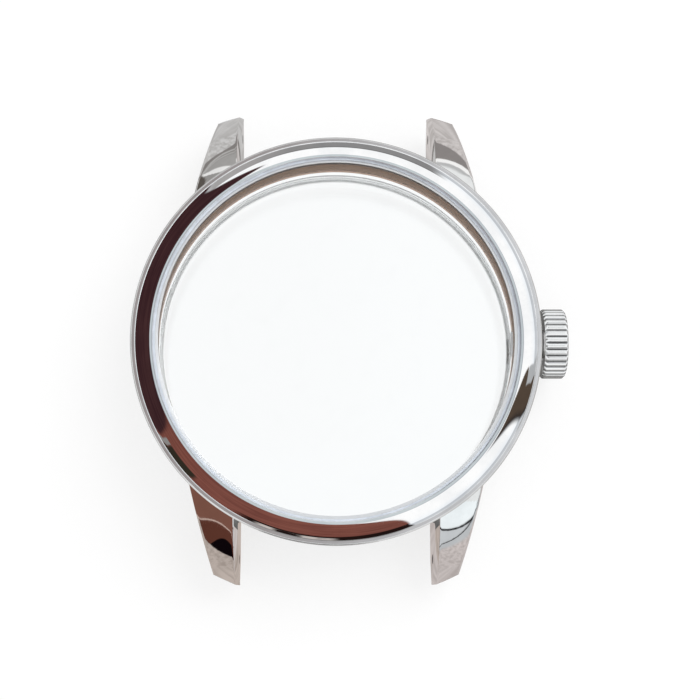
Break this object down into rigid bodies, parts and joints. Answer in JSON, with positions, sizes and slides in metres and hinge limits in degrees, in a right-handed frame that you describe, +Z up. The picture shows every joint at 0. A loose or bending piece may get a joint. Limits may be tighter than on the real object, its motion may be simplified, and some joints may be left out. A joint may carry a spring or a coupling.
{
  "type": "empty watch case",
  "caption": "Round polished watch case with bezel, crystal, lugs, fluted crown and a screwed see-through back, empty and ready for a hand-wound movement.",
  "frame": {"origin": "case axis in the plane that the case back rests on", "axes": "+Z up through the crystal, +Y to 12 o'clock, +X to the crown at 3 o'clock"},
  "size_m": [0.0454, 0.0502, 0.0119],
  "materials": {
    "case_middle": "mirror-polished stainless steel",
    "bezel": "mirror-polished stainless steel",
    "bezel_gasket": "natural nylon",
    "crystal": "clear polished mineral glass",
    "crystal_gasket": "translucent white nylon",
    "rehaut_ring": "satin stainless steel",
    "movement_ring": "turned stainless steel",
    "ring_locating_pin": "ground steel pin",
    "crown_tube": "turned stainless steel",
    "crown_shell": "polished stainless steel with flutes",
    "crown_post": "turned stainless steel",
    "crown_gasket": "black nitrile rubber",
    "crown_gasket_washer": "turned stainless steel",
    "back_ring": "circular-brushed stainless steel with polished edges",
    "back_glass": "clear polished mineral glass",
    "back_glass_gasket": "translucent white nylon",
    "back_gasket": "black nitrile rubber",
    "back_slip_washer": "white PTFE film"
  },
  "bodies": {
    "back": {"back_ring": "back_ring", "back_glass": "back_glass", "back_glass_gasket": "back_glass_gasket"},
    "back_washer": {"back_slip_washer": "back_slip_washer"},
    "back_seal": {"back_gasket": "back_gasket"},
    "case": {"case_middle": "case_middle", "bezel": "bezel", "bezel_gasket": "bezel_gasket", "crystal": "crystal", "crystal_gasket": "crystal_gasket", "rehaut_ring": "rehaut_ring", "movement_ring": "movement_ring", "ring_locating_pin": "ring_locating_pin", "crown_tube": "crown_tube"},
    "crown_seal": {"crown_gasket": "crown_gasket"},
    "crown": {"crown_shell": "crown_shell", "crown_post": "crown_post", "crown_gasket_washer": "crown_gasket_washer"}
  },
  "joints": [
    {"name": "back_turn", "type": "hinge", "parent": "back", "child": "back_washer", "pos_m": [0, 0, 0], "axis": [0, 0, 1], "range_deg": [0, 1440]},
    {"name": "back_thread_travel", "type": "slide", "parent": "back_washer", "child": "back_seal", "axis": [0, 0, 1], "range_m": [0, 0.002]},
    {"name": "back_lift", "type": "slide", "parent": "back_seal", "child": "case", "axis": [0, 0, 1], "range_m": [0, 0.02]},
    {"name": "crown_pull", "type": "slide", "parent": "case", "child": "crown_seal", "axis": [1, 0, 0], "range_m": [0, 0.004]},
    {"name": "crown_turn", "type": "hinge", "parent": "crown_seal", "child": "crown", "pos_m": [0.02155, 0, 0.0054], "axis": [1, 0, 0], "continuous": true}
  ],
  "couplings": [
    {"joint": "back_thread_travel", "follows": "back_turn", "m_per_rad": 0.000079577}
  ]
}
